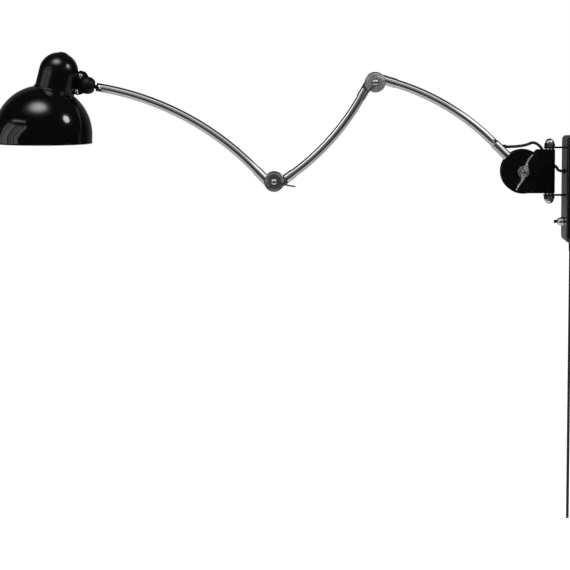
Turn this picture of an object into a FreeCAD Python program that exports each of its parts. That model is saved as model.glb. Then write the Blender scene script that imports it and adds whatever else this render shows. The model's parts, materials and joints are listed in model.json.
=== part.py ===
"""Articulating wall lamp: wall plate, swivel fork, three folding arms, ball joint and enamelled shade.

Millimetres. +Z is up, the wall is the plane X = 0 and the lamp reaches out along -X. Y = 0 is the
plane that the arms fold in, and -Y is the front. The origin is the middle of the wall plate's back.
"""

import FreeCAD
import Part
import Sketcher
import math
import os

SIZES = {
    # wall plate
    "plate_width": 120, "plate_height": 230, "plate_depth": 26, "plate_corner": 14,
    "plate_edge_round": 8, "cover_wall": 2, "mounting_sheet": 2.5, "mounting_gap": 0.4,
    "mounting_tab_width": 24, "mounting_tab_depth": 16, "wall_hole_radius": 2.75,
    "wall_hole_across": 72, "wall_hole_rise": 170, "cover_screw_radius": 2,
    "cover_screw_head_radius": 4, "cover_screw_from_wall": 9, "cover_screw_length": 9,
    "cover_screw_across": 6, "tab_across": 30,
    # lugs and vertical pivot
    "pivot_from_wall": 58.4, "lug_width": 24, "lug_sheet": 3, "lug_nose": 13, "lug_bend": 0.8,
    "pivot_play": 0.1, "pivot_radius": 6, "pivot_fit": 0.06, "pivot_depth": 20,
    "washer_thickness": 2.8, "washer_radius": 10, "nut_flats": 20.4, "nut_height": 8,
    "nut_dome": 10.1, "nut_chamfer": 11, "stud_in_nut": 12,
    # base hinge
    "base_from_wall": 117, "base_height": 38.4, "fork_height": 95, "fork_width": 27.4,
    "cheek_gap": 20.4, "fork_rear": 11.2, "fork_rear_round": 5, "fork_slot_end": 50,
    "shoulder_start": 30.3, "notch_angle": 59.5, "drum_radius": 46.5, "drum_width": 20,
    "drum_edge": 1.2, "disc_radius": 48.3, "disc_rim": 3, "disc_rise": 7, "disc_hub_radius": 14,
    "disc_edge": 0.8, "disc_sheet": 2.5, "base_bolt_radius": 5, "base_bolt_fit": 0.1,
    "base_bolt_head": 4.5, "base_bolt_flats": 17, "base_bolt_past": 21, "base_washer_radius": 12.6,
    "base_washer_sheet": 2, "cable_hole_radius": 3.6, "cable_hole_in": 25, "cable_hole_out": 13,
    # wing nut
    "wing_angle": 68.5, "wing_hub_radius": 9.4, "wing_hub_top": 6.4, "wing_hub_height": 17,
    "wing_reach": 41.5, "wing_thickness": 3.4, "wing_rise": 15, "wing_depth": 8,
    # arms
    "tube_radius": 9.25, "tube_wall": 1.5, "sleeve_radius": 10.3, "tube_fit": 0.05,
    "tube_insert": 16, "base_tube_insert": 11, "arm_offset": 10.7,
    "knuckle_radius": 22.5, "knuckle_outer": 10,
    "knuckle_boss": 11, "knuckle_boss_radius": 8.5, "knuckle_groove_in": 13.5,
    "knuckle_groove_out": 18.8, "knuckle_groove_depth": 0.7, "knuckle_edge": 1.2,
    "friction_half": 0.5, "friction_radius": 20.5, "sleeve_start": 24.5, "sleeve_end": 45,
    "elbow_run": 47, "pin_radius": 3, "pin_fit": 0.1, "pin_head_radius": 6.1,
    "pin_head_height": 3.4, "slot_width": 1.4, "slot_depth": 1.3, "lever_sheet": 3,
    "lever_hub_radius": 7.8, "lever_reach": 47, "lever_width": 4.2, "lever_bend": 85,
    "pin_nut_height": 5, "pin_nut_flats": 11, "lever_1_angle": -12, "lever_2_angle": 233,
    "arm_1_length": 375.7, "arm_1_angle": 149, "arm_1_bend": 507, "base_run": 97,
    "base_sleeve_end": 85, "lead_exit_along": 66,
    "arm_2_length": 308.3, "arm_2_angle": 44.5, "arm_2_bend": 520,
    "arm_3_length": 456.2, "arm_3_angle": 152.7, "arm_3_bend": 613.5, "head_run": 34,
    # ball joint and clamp
    "ball_radius": 15.5, "ball_fit": 0.25, "neck_radius": 4.5, "neck_length": 19.3,
    "stud_depth": 14, "stud_radius": 4, "stud_fit": 0.08, "socket_radius": 19, "mouth_depth": 15.3,
    "mouth_radius": 11.3, "flange_outer": 7, "ear_half": 3, "clamp_from_housing": 0.4,
    "ear_reach": 56, "clamp_screw_reach": 48.1, "clamp_screw_low": 11.1, "clamp_screw_high": 46.3,
    "clamp_screw_radius": 2.5, "clamp_screw_head_radius": 5.1, "clamp_screw_head": 3,
    "clamp_nut_radius": 4.8, "clamp_nut_height": 4, "clamp_low": 4.5, "clamp_high": 57.5,
    "clamp_fit": 0.2,
    # head
    "head_tilt": 14.6, "ball_reach": 67.9, "ball_rise": 30.3, "housing_radius": 42.8,
    "housing_wall": 2.6, "housing_straight": 42.5, "collar_radius": 45, "collar_height": 4.4,
    "collar_edge": 2,    "cap_radius": 10, "cap_height": 1.6, "cap_stem_radius": 3,
    "shade_radius": 107.4, "shade_sheet": 1.5, "shade_skirt": 19.6, "shade_bead": 1.5,
    "shade_draft": 0.4, "shade_seat_gap": 0.1, "ring_fit": 0.1, "ring_wall": 2.4,
    "ring_flange_radius": 43, "ring_flange_sheet": 2, "ring_rise": 11,
    "holder_plate_sheet": 2,
    "holder_radius": 21, "holder_drop": 28, "holder_neck_radius": 13, "holder_neck_height": 12,
    "cap_socket_radius": 13.6, "cap_socket_depth": 25, "bulb_base_radius": 13.2,
    "bulb_neck_radius": 15, "bulb_radius": 30, "bulb_length": 78, "bulb_neck_length": 12,
    "bulb_wall": 1, "bulb_stem_radius": 3, "bulb_shoulder_angle": 28,
    # leads, switch and fittings
    "cord_radius": 3.15, "cord_fit": 0.1, "supply_from_wall": 10.4, "supply_length": 614.7,
    "relief_length": 22, "relief_top_radius": 4.5, "relief_tip_radius": 3.7,
    "relief_flange_radius": 6.5, "relief_flange": 2, "grommet_radius": 5.6, "grommet_neck_radius": 4.4,
    "grommet_flange": 2.4, "grommet_height": 37.9, "bush_radius": 4.6, "bush_length": 9, "bush_inside": 5.5,
    "switch_drop": 70, "switch_aside": 18, "collar_base_radius": 9.1, "switch_collar_length": 16.5,
    "collar_straight": 8.5, "collar_nose_radius": 4.6, "button_radius": 3.7, "button_out": 7,
    "button_length": 14, "button_fit": 0.1, "switch_travel": 2.5, "switch_neck_radius": 6,
    "switch_neck_length": 10, "switch_body_radius": 10, "switch_body_length": 14, "socket_fit": 0.1,
    "block_width": 36, "block_height": 16, "block_depth": 13, "block_rise": 8,
    "block_hole_radius": 2.2,
}


class Size:
    """A number together with the document expression that gives it."""

    def __init__(self, value, text):
        self.value, self.text = value, text

    def __add__(self, other):
        return Size(self.value + sized(other).value, f"({self.text} + {sized(other).text})")

    def __sub__(self, other):
        return Size(self.value - sized(other).value, f"({self.text} - {sized(other).text})")

    def __mul__(self, other):
        return Size(self.value * sized(other).value, f"({self.text} * {sized(other).text})")

    def __truediv__(self, other):
        return Size(self.value / sized(other).value, f"({self.text} / {sized(other).text})")

    def __radd__(self, other):
        return sized(other) + self

    def __rsub__(self, other):
        return sized(other) - self

    def __rmul__(self, other):
        return sized(other) * self

    def __neg__(self):
        return Size(-self.value, f"(0 - {self.text})")


def sized(number):
    return number if isinstance(number, Size) else Size(float(number), f"({float(number)!r})")


def sine(angle):
    return Size(math.sin(math.radians(angle.value)), f"sin({angle.text} * 1 deg)")


def cosine(angle):
    return Size(math.cos(math.radians(angle.value)), f"cos({angle.text} * 1 deg)")


def arc_cosine(ratio):
    return Size(math.degrees(math.acos(ratio.value)), f"(acos({ratio.text}) / 1 deg)")


def arc_tangent(ratio):
    return Size(math.degrees(math.atan(ratio.value)), f"(atan({ratio.text}) / 1 deg)")


def root(number):
    return Size(math.sqrt(number.value), f"sqrt({number.text})")


def crown(half_width, rise):
    """The radius of a dome that is level at its top."""
    return (half_width * half_width + rise * rise) / (2 * rise)


class Named:
    """The sizes by name."""


doc = FreeCAD.newDocument("WallLamp")
sheet = doc.addObject("Spreadsheet::Sheet", "Sizes")
layout = doc.addObject("App::VarSet", "Layout")
s = Named()
for row, (alias, number) in enumerate(SIZES.items(), start=1):
    sheet.set(f"A{row}", alias)
    sheet.set(f"B{row}", str(number))
    sheet.setAlias(f"B{row}", alias)
    setattr(s, alias, Size(float(number), f"Sizes.{alias}"))
doc.recompute()


def derived(name, size):
    """Keeps a value that several pieces share under a name of its own."""
    layout.addProperty("App::PropertyFloat", name, "Layout")
    layout.setExpression(name, size.text)
    return Size(size.value, f"Layout.{name}")


# ---------------------------------------------------------------- sketches and features


def new_body(label):
    body = doc.addObject("PartDesign::Body", label)
    body.Label = label
    return body


def new_sketch(body, plane, lift=None):
    """A sketch on one of the body's own planes, lifted along the plane's normal."""
    sketch = body.newObject("Sketcher::SketchObject", body.Name + "_outline")
    support = [f for f in body.Origin.OriginFeatures if f.Role == plane][0]
    sketch.AttachmentSupport = [(support, "")]
    sketch.MapMode = "FlatFace"
    if lift is not None:
        sketch.AttachmentOffset = FreeCAD.Placement(
            FreeCAD.Vector(0, 0, lift.value), FreeCAD.Rotation())
        sketch.setExpression("AttachmentOffset.Base.z", lift.text)
    return sketch


def dimension(sketch, kind, places, size):
    index = sketch.addConstraint(Sketcher.Constraint(kind, *places, size.value))
    sketch.setExpression(f"Constraints[{index}]", size.text)


def pin_point(sketch, geometry, position, x, y):
    """Fixes a point of the sketch at x, y, where a plain 0 means on the axis."""
    for kind, axis, size in (("DistanceX", -2, x), ("DistanceY", -1, y)):
        if isinstance(size, Size):
            dimension(sketch, kind, (-1, 1, geometry, position), size)
        elif size:
            sketch.addConstraint(Sketcher.Constraint(kind, -1, 1, geometry, position, float(size)))
        else:
            sketch.addConstraint(Sketcher.Constraint("PointOnObject", geometry, position, axis))


def outline(sketch, points, closed=True):
    """Lines and minor arcs through points (x, y) or (x, y, radius of the arc to the next point).

    A positive radius turns counter-clockwise.
    """
    flat = [(sized(p[0]).value, sized(p[1]).value) for p in points]
    count = len(points) if closed else len(points) - 1
    starts, ends = [], []
    for i in range(count):
        ax, ay = flat[i]
        bx, by = flat[(i + 1) % len(points)]
        if len(points[i]) == 2:
            edge = Part.LineSegment(FreeCAD.Vector(ax, ay, 0), FreeCAD.Vector(bx, by, 0))
            starts.append((sketch.addGeometry(edge, False), 1))
            ends.append((starts[-1][0], 2))
            continue
        radius = sized(points[i][2]).value
        chord = math.hypot(bx - ax, by - ay)
        sagitta = math.sqrt(max(radius**2 - chord**2 / 4, 0)) * (1 if radius > 0 else -1)
        cx = (ax + bx) / 2 - (by - ay) / chord * sagitta
        cy = (ay + by) / 2 + (bx - ax) / chord * sagitta
        first, last = math.atan2(ay - cy, ax - cx), math.atan2(by - cy, bx - cx)
        circle = Part.Circle(FreeCAD.Vector(cx, cy, 0), FreeCAD.Vector(0, 0, 1), abs(radius))
        turned = (first, last) if radius > 0 else (last, first)
        if turned[1] < turned[0]:
            turned = (turned[0], turned[1] + 2 * math.pi)
        index = sketch.addGeometry(Part.ArcOfCircle(circle, *turned), False)
        starts.append((index, 1 if radius > 0 else 2))
        ends.append((index, 2 if radius > 0 else 1))
    for i in range(count if closed else count - 1):
        sketch.addConstraint(
            Sketcher.Constraint("Coincident", *ends[i], *starts[(i + 1) % count]))
    for i in range(count):
        pin_point(sketch, *starts[i], points[i][0], points[i][1])
        if len(points[i]) == 3:
            radius = sized(points[i][2])
            dimension(sketch, "Radius", (starts[i][0],), radius if radius.value > 0 else -radius)
    if not closed:
        pin_point(sketch, *ends[-1], points[-1][0], points[-1][1])


def circle(sketch, x, y, radius):
    centre = FreeCAD.Vector(sized(x).value, sized(y).value, 0)
    index = sketch.addGeometry(
        Part.Circle(centre, FreeCAD.Vector(0, 0, 1), radius.value), False)
    dimension(sketch, "Radius", (index,), radius)
    pin_point(sketch, index, 3, x, y)


def rounded_rectangle(sketch, half_x, half_y, corner):
    outline(sketch, [
        (corner - half_x, -half_y), (half_x - corner, -half_y, corner),
        (half_x, corner - half_y), (half_x, half_y - corner, corner),
        (half_x - corner, half_y), (corner - half_x, half_y, corner),
        (-half_x, half_y - corner), (-half_x, corner - half_y, corner)])


def hexagon(sketch, flats):
    corner = flats / math.sqrt(3)
    outline(sketch, [(corner, 0), (corner / 2, flats / 2), (-corner / 2, flats / 2),
                     (-corner, 0), (-corner / 2, -flats / 2), (corner / 2, -flats / 2)])


def feature(body, kind, sketch, length=None, both=False, back=False):
    """A pad or pocket of the sketch; without a length it goes right through."""
    made = body.newObject("PartDesign::" + kind, f"{body.Name}_{kind.lower()}")
    made.Profile = sketch
    made.Midplane = both
    made.Reversed = back
    if length is None:
        made.Type = "ThroughAll"
    else:
        made.Length = sized(length).value
        made.setExpression("Length", sized(length).text)
    return made


def turned(body, sketch, axis, kind="Revolution", angle=360, back=False):
    made = body.newObject("PartDesign::" + kind, f"{body.Name}_{kind.lower()}")
    made.Profile = sketch
    made.ReferenceAxis = (sketch, [axis])
    made.Angle = angle
    made.Reversed = back
    return made


def fillet(body, edges, radius):
    """Rounds the named edges of the body's last feature."""
    base = body.Tip
    made = body.newObject("PartDesign::Fillet", body.Name + "_fillet")
    made.Base = (base, edges)
    made.setExpression("Radius", radius.text)


def hollow(body, wall):
    """Leaves a shell of the body's last feature, open on the wall plane X = 0."""
    base = body.Tip
    back = [f"Face{i}" for i, face in enumerate(base.Shape.Faces, start=1)
            if abs(face.BoundBox.XMax) < 0.01 and face.BoundBox.XLength < 0.01]
    made = body.newObject("PartDesign::Thickness", body.Name + "_shell")
    made.Base = (base, back)
    made.Reversed = True
    made.setExpression("Value", wall.text)


def place(piece, x=0, y=0, z=0, angle=None, axis=(0, 1, 0)):
    """Sets the piece's Placement; the angle is in degrees about the axis."""
    turn = FreeCAD.Rotation(FreeCAD.Vector(*axis), sized(angle or 0).value)
    start = FreeCAD.Vector(sized(x).value, sized(y).value, sized(z).value)
    piece.Placement = FreeCAD.Placement(start, turn)
    for letter, size in zip("xyz", (x, y, z)):
        if isinstance(size, Size):
            piece.setExpression(f"Placement.Base.{letter}", size.text)
    if isinstance(angle, Size):
        piece.setExpression("Placement.Rotation.Angle", angle.text + " * 1 deg")
    return piece


def turned_piece(label, points, plane="XZ_Plane", axis="V_Axis"):
    """A piece turned from one outline."""
    body = new_body(label)
    sketch = new_sketch(body, plane)
    outline(sketch, points)
    turned(body, sketch, axis)
    return body


def group(label, members):
    made = doc.addObject("Part::Compound", label)
    made.Label = label
    made.Links = members
    return made


# ---------------------------------------------------------------- where the joints lie

base_x = derived("base_x", -s.base_from_wall)
base_z = derived("base_z", s.base_height)
pivot_x = derived("pivot_x", -s.pivot_from_wall)
lug_face = derived("lug_face", s.fork_height / 2 + s.washer_thickness + s.pivot_play)
cheek_face = derived("cheek_face", s.fork_width / 2)
lever_back = derived("lever_back", s.knuckle_boss)
tube_inner = derived("tube_inner", s.tube_radius - s.tube_wall)
tube_start = derived("tube_start", s.sleeve_end - s.tube_insert)


class Arm:
    """A tube with straight ends and one bend to the left, between a start and an end joint.

    Its own frame starts at the start joint with X along the first straight run.
    start_side and end_side say how far each joint lies from its run, towards the inside of the bend.
    """

    def __init__(self, name, length, angle, bend, runs, sides):
        self.bend, self.start_run, self.end_run = bend, runs[0], runs[1]
        self.start_side, self.end_side = sides
        near = root(runs[0] * runs[0] + (bend - sides[0]) * (bend - sides[0]))
        far = root(runs[1] * runs[1] + (bend - sides[1]) * (bend - sides[1]))
        near = derived(name + "_near", near)
        far = derived(name + "_far", far)
        whole = arc_cosine((near * near + far * far - length * length) / (2 * near * far))
        ends = arc_tangent(runs[0] / (bend - sides[0])) + arc_tangent(runs[1] / (bend - sides[1]))
        self.sweep = derived(name + "_sweep", whole - ends)
        bend_x, bend_z = self.arc_end()
        along = bend_x + runs[1] * cosine(self.sweep) - sides[1] * sine(self.sweep)
        across = bend_z + runs[1] * sine(self.sweep) + sides[1] * cosine(self.sweep)
        self.start_angle = derived(name + "_run_angle", angle - arc_tangent(across / along))
        self.end_angle = derived(name + "_end_angle", self.start_angle + self.sweep + 180)

    def arc_end(self):
        return (self.start_run + self.bend * sine(self.sweep),
                self.bend * (1 - cosine(self.sweep)) - self.start_side)


def joint_beyond(name, x, z, length, angle):
    return (derived(name + "_x", x + length * cosine(angle)),
            derived(name + "_z", z + length * sine(angle)))


arm_1 = Arm("arm_1", s.arm_1_length, s.arm_1_angle, s.arm_1_bend,
            (s.base_run, s.elbow_run), (sized(0), s.arm_offset))
arm_2 = Arm("arm_2", s.arm_2_length, s.arm_2_angle, s.arm_2_bend,
            (s.elbow_run, s.elbow_run), (s.arm_offset, -s.arm_offset))
arm_3 = Arm("arm_3", s.arm_3_length, s.arm_3_angle, s.arm_3_bend,
            (s.elbow_run, s.head_run), (-s.arm_offset, sized(0)))
elbow_2 = joint_beyond("elbow_2", base_x, base_z, s.arm_1_length, s.arm_1_angle)
elbow_1 = joint_beyond("elbow_1", *elbow_2, s.arm_2_length, s.arm_2_angle + 180)
ball_at = joint_beyond("ball", *elbow_1, s.arm_3_length, s.arm_3_angle)

seam = derived("seam", root(s.shade_radius * s.shade_radius - s.collar_radius * s.collar_radius))
ball_up = derived("ball_up", seam + s.ball_rise)
shade_x = derived("shade_x", ball_at[0] - ball_up * sine(s.head_tilt)
                  - s.ball_reach * cosine(s.head_tilt))
shade_z = derived("shade_z", ball_at[1] - ball_up * cosine(s.head_tilt)
                  + s.ball_reach * sine(s.head_tilt))

# ---------------------------------------------------------------- fixed to the wall


def wall_cover():
    """Deep drawn box with rounded corners, open at the back."""
    body = new_body("wall_cover")
    sketch = new_sketch(body, "YZ_Plane")
    rounded_rectangle(sketch, s.plate_width / 2, s.plate_height / 2, s.plate_corner)
    feature(body, "Pad", sketch, s.plate_depth, back=True)
    doc.recompute()
    front = [f"Edge{i}" for i, edge in enumerate(body.Tip.Shape.Edges, start=1)
             if abs(edge.BoundBox.XMin + s.plate_depth.value) < 0.01
             and edge.BoundBox.XLength < 0.01]
    fillet(body, front, s.plate_edge_round)
    doc.recompute()
    hollow(body, s.cover_wall)
    lugs = new_sketch(body, "YZ_Plane")
    for side in (1, -1):
        half = s.lug_width / 2 + 0.2
        inner = base_z + side * (lug_face - s.lug_bend - 0.2)
        outer = base_z + side * (lug_face + s.lug_sheet + 0.2)
        low, high = (inner, outer) if side > 0 else (outer, inner)
        outline(lugs, [(-half, low), (half, low), (half, high), (-half, high)])
    circle(lugs, 0, s.grommet_height, s.grommet_neck_radius + 0.1)
    circle(lugs, -s.switch_aside, -s.switch_drop, s.switch_neck_radius + s.socket_fit)
    feature(body, "Pocket", lugs, back=False)
    doc.recompute()
    holes = new_sketch(body, "XY_Plane")
    circle(holes, -s.supply_from_wall, 0, s.relief_top_radius + s.cord_fit)
    feature(body, "Pocket", holes, s.plate_height)
    for side in (1, -1):
        screws = new_sketch(body, "XY_Plane")
        circle(screws, -s.cover_screw_from_wall, s.tab_across, s.cover_screw_radius + s.cord_fit)
        feature(body, "Pocket", screws, s.plate_height, back=side > 0)
    return body


def mounting_plate():
    """Flat plate against the wall with two folded tabs for the cover screws."""
    body = new_body("mounting_plate")
    sketch = new_sketch(body, "YZ_Plane")
    inset = s.cover_wall + s.mounting_gap
    rounded_rectangle(sketch, s.plate_width / 2 - inset, s.plate_height / 2 - inset,
                      s.plate_corner - inset)
    for y in (-0.5, 0.5):
        for z in (-0.5, 0.5):
            circle(sketch, y * s.wall_hole_across, z * s.wall_hole_rise, s.wall_hole_radius)
    feature(body, "Pad", sketch, s.mounting_sheet, back=True)
    for side in (1, -1):
        tab = new_sketch(body, "YZ_Plane")
        outer = side * (s.plate_height / 2 - inset)
        inner = side * (s.plate_height / 2 - inset - s.mounting_sheet)
        left = s.tab_across - s.mounting_tab_width / 2
        right = s.tab_across + s.mounting_tab_width / 2
        corners = [(left, inner), (right, inner), (right, outer), (left, outer)]
        outline(tab, corners if side > 0 else corners[::-1])
        feature(body, "Pad", tab, s.mounting_tab_depth, back=True)
    screws = new_sketch(body, "XY_Plane")
    circle(screws, -s.cover_screw_from_wall, s.tab_across, s.cover_screw_radius)
    feature(body, "Pocket", screws, s.plate_height, both=True)
    return body


def cover_screw(label, side):
    """Countersunk-style low screw through the cover into the tab."""
    piece = turned_piece(label, [
        (0, -s.cover_screw_length), (s.cover_screw_radius, -s.cover_screw_length),
        (s.cover_screw_radius, 0), (s.cover_screw_head_radius, 0),
        (s.cover_screw_head_radius - 0.8, 1.2), (0, 1.2)])
    edge = side * s.plate_height / 2
    return place(piece, -s.cover_screw_from_wall, s.tab_across, edge,
                 0 if side > 0 else 180, (1, 0, 0))


def pivot_bracket():
    """Bent strip: the web lies behind the cover's front and the two lugs pass out through it."""
    body = new_body("pivot_bracket")
    plan = new_sketch(body, "XY_Plane", -lug_face - s.lug_sheet)
    web_back = s.plate_depth - s.cover_wall - s.lug_sheet
    half = s.lug_width / 2
    centre = s.pivot_from_wall
    nose = centre + root(s.lug_nose * s.lug_nose - half * half)
    outline(plan, [(-web_back, -half), (-web_back, half), (-nose, half, s.lug_nose),
                   (-nose, -half)])
    feature(body, "Pad", plan, (lug_face + s.lug_sheet) * 2)
    window = new_sketch(body, "XZ_Plane")
    inner = s.plate_depth - s.cover_wall
    far = centre + s.lug_nose + 1
    bend = s.lug_bend
    outline(window, [
        (-far, -lug_face), (-inner - bend, -lug_face, bend), (-inner, bend - lug_face),
        (-inner, lug_face - bend, bend), (-inner - bend, lug_face), (-far, lug_face)])
    feature(body, "Pocket", window, s.lug_width * 2, both=True)
    holes = new_sketch(body, "XY_Plane")
    circle(holes, -centre, 0, s.pivot_radius + s.pivot_fit)
    feature(body, "Pocket", holes, (lug_face + s.lug_sheet) * 4, both=True)
    lead = new_sketch(body, "YZ_Plane")
    circle(lead, 0, s.grommet_height - s.base_height, s.grommet_neck_radius + 0.1)
    feature(body, "Pocket", lead, s.plate_depth * 2, both=True)
    return place(body, 0, 0, base_z)


def pivot_stud(label, side):
    """Short threaded stud from the cap nut through the lug into the fork."""
    low = s.fork_height / 2 - s.pivot_depth + 1
    high = lug_face + s.lug_sheet + s.stud_in_nut
    piece = turned_piece(label, [
        (0, low), (s.pivot_radius - 1, low), (s.pivot_radius, low + 1),
        (s.pivot_radius, high - 1), (s.pivot_radius - 1, high), (0, high)])
    return place(piece, pivot_x, 0, base_z, 0 if side > 0 else 180, (1, 0, 0))


def cap_nut(label, side):
    """Hexagon nut with a round dome, bored for the stud."""
    body = new_body(label)
    sketch = new_sketch(body, "XY_Plane")
    hexagon(sketch, s.nut_flats)
    feature(body, "Pad", sketch, s.nut_height)
    collar = new_sketch(body, "XZ_Plane")
    outline(collar, [
        (s.nut_chamfer, 0), (s.nut_chamfer * 1.4, 0), (s.nut_chamfer * 1.4, s.nut_height),
        (s.nut_dome, s.nut_height), (s.nut_chamfer + 1.6, s.nut_height - 1.6),
        (s.nut_chamfer + 1.6, 1.2)])
    turned(body, collar, "V_Axis", "Groove")
    dome = new_sketch(body, "XZ_Plane")
    outline(dome, [(0, s.nut_height - 1), (s.nut_dome, s.nut_height - 1),
                   (s.nut_dome, s.nut_height, s.nut_dome), (0, s.nut_height + s.nut_dome)])
    turned(body, dome, "V_Axis")
    bore = new_sketch(body, "XY_Plane")
    circle(bore, 0, 0, s.pivot_radius + s.pivot_fit)
    feature(body, "Pocket", bore, s.stud_in_nut + 0.3, back=True)
    height = base_z + side * (lug_face + s.lug_sheet)
    return place(body, pivot_x, 0, height, 0 if side > 0 else 180, (1, 0, 0))


def thrust_washer(label, side):
    low = s.fork_height / 2 + s.pivot_play / 2
    high = low + s.washer_thickness
    hole = s.pivot_radius + s.pivot_fit
    piece = turned_piece(label, [(hole, low), (s.washer_radius, low),
                                 (s.washer_radius, high), (hole, high)])
    return place(piece, pivot_x, 0, base_z, 0 if side > 0 else 180, (1, 0, 0))


def cord_grommet():
    """Rubber grommet in the cover's front; the turned axis points out of the plate."""
    bore = s.cord_radius + s.cord_fit
    face = s.grommet_flange
    back = -(s.cover_wall + s.lug_sheet)
    piece = turned_piece("cord_grommet", [
        (bore, back), (s.grommet_neck_radius, back), (s.grommet_neck_radius, 0),
        (s.grommet_radius, 0), (s.grommet_radius, face - 1, 1), (s.grommet_radius - 1, face),
        (bore, face)])
    return place(piece, -s.plate_depth, 0, s.grommet_height, -90)


def switch_body():
    """Push switch behind the cover's front, with a threaded neck through it."""
    neck_bore = s.button_radius + s.button_fit
    piece = turned_piece("switch_body", [
        (0, -s.switch_body_length), (s.switch_body_radius, -s.switch_body_length),
        (s.switch_body_radius, 0), (s.switch_neck_radius, 0),
        (s.switch_neck_radius, s.switch_neck_length), (neck_bore, s.switch_neck_length),
        (neck_bore, 1), (0, 1)])
    return place(piece, s.cover_wall - s.plate_depth, -s.switch_aside, -s.switch_drop, -90)


def switch_collar():
    """Domed chrome collar screwed on the switch's neck."""
    length = s.switch_collar_length
    neck = s.switch_neck_radius + s.socket_fit
    hole = s.button_radius + s.button_fit
    reach = s.switch_neck_length - s.cover_wall + s.button_fit
    piece = turned_piece("switch_collar", [
        (neck, 0), (s.collar_base_radius, 0), (s.collar_base_radius, s.collar_straight, 11),
        (s.collar_nose_radius, length), (hole, length), (hole, reach), (neck, reach)])
    return place(piece, -s.plate_depth, -s.switch_aside, -s.switch_drop, -90)


def switch_button():
    face = s.switch_collar_length + s.button_out
    back = face - s.button_length
    piece = turned_piece("switch_button", [
        (0, back), (s.button_radius, back), (s.button_radius, face - 1, 1),
        (s.button_radius - 1, face), (0, face)])
    return place(piece, -s.plate_depth, -s.switch_aside, -s.switch_drop, -90)


def terminal_block():
    """Porcelain block with two clamp holes, screwed to the mounting plate."""
    body = new_body("terminal_block")
    sketch = new_sketch(body, "YZ_Plane")
    rounded_rectangle(sketch, s.block_width / 2, s.block_height / 2, sized(2))
    for side in (-0.25, 0.25):
        circle(sketch, side * s.block_width, 0, s.block_hole_radius)
    feature(body, "Pad", sketch, s.block_depth, back=True)
    return place(body, -s.mounting_sheet, 0, s.block_rise)


def strain_relief():
    """Tapered sleeve in the bottom of the cover, with its flange inside."""
    bore = s.cord_radius + s.cord_fit
    shelf = s.cover_wall
    piece = turned_piece("strain_relief", [
        (bore, shelf + s.relief_flange), (bore, -s.relief_length),
        (s.relief_tip_radius, -s.relief_length), (s.relief_top_radius, 0),
        (s.relief_top_radius, shelf), (s.relief_flange_radius, shelf),
        (s.relief_flange_radius, shelf + s.relief_flange)])
    return place(piece, -s.supply_from_wall, 0, -s.plate_height / 2)


# ---------------------------------------------------------------- swivel and base hinge


def swivel_fork():
    """Fork with two round cheeks; the arm's drum turns between them."""
    body = new_body("swivel_fork")
    half = s.fork_height / 2
    rear = s.base_from_wall - s.pivot_from_wall + s.fork_rear
    notch_x, notch_z = half * cosine(s.notch_angle), half * sine(s.notch_angle)
    sketch = new_sketch(body, "XZ_Plane")
    outline(sketch, [
        (0, -half), (rear, -half), (rear, half), (s.shoulder_start, half),
        (notch_x, notch_z, half), (-half * 0.8, half * 0.6, half), (-half * 0.8, -half * 0.6, half)])
    feature(body, "Pad", sketch, s.fork_width, both=True)
    doc.recompute()
    edges = [f"Edge{i}" for i, edge in enumerate(body.Tip.Shape.Edges, start=1)
             if edge.BoundBox.ZLength > half.value and abs(edge.BoundBox.XMin - rear.value) < 0.01]
    fillet(body, edges, s.fork_rear_round)
    slot = new_sketch(body, "XY_Plane")
    gap = s.cheek_gap / 2
    outline(slot, [(-half - 5, -gap), (s.fork_slot_end, -gap), (s.fork_slot_end, gap),
                   (-half - 5, gap)])
    feature(body, "Pocket", slot, s.fork_height * 2, both=True)
    for side in (1, -1):
        bore = new_sketch(body, "XY_Plane", side * half)
        circle(bore, s.base_from_wall - s.pivot_from_wall, 0, s.pivot_radius + s.pivot_fit)
        feature(body, "Pocket", bore, s.pivot_depth, back=side < 0)
    bolt = new_sketch(body, "XZ_Plane")
    circle(bolt, 0, 0, s.base_bolt_radius + s.base_bolt_fit)
    feature(body, "Pocket", bolt, s.fork_width * 2, both=True)
    place(body, base_x, 0, base_z)
    drill = doc.addObject("Part::Cylinder", "fork_lead_drill")
    run = rear - s.fork_slot_end
    drop = s.cable_hole_in - s.cable_hole_out
    drill.setExpression("Radius", s.cable_hole_radius.text)
    drill.setExpression("Height", (root(run * run + drop * drop) * 2).text)
    slope = arc_tangent(drop / run)
    place(drill, base_x + s.fork_slot_end - run / 2, 0, base_z + s.cable_hole_in + drop / 2,
          slope + 90)
    cut = doc.addObject("Part::Cut", "swivel_fork_drilled")
    cut.Base, cut.Tool = body, drill
    body.Label = "fork_casting"
    cut.Label = "swivel_fork"
    return cut


def friction_disc(label, side):
    """Pressed cone on the outside of a cheek; its rim bears on the cheek."""
    hole = s.base_bolt_radius + s.base_bolt_fit
    rim, top = s.disc_rim, s.disc_rim + s.disc_rise
    sheet = s.disc_sheet
    inner = s.disc_radius - sheet * 1.6
    piece = turned_piece(label, [
        (inner, 0), (s.disc_radius - s.disc_edge, 0), (s.disc_radius, s.disc_edge),
        (s.disc_radius, rim - s.disc_edge), (s.disc_radius - s.disc_edge, rim),
        (s.disc_hub_radius, top), (hole, top), (hole, top - sheet),
        (s.disc_hub_radius - sheet / 2, top - sheet), (inner, rim - sheet / 2)])
    return place(piece, base_x, side * cheek_face, base_z, -90 * side, (1, 0, 0))


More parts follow.
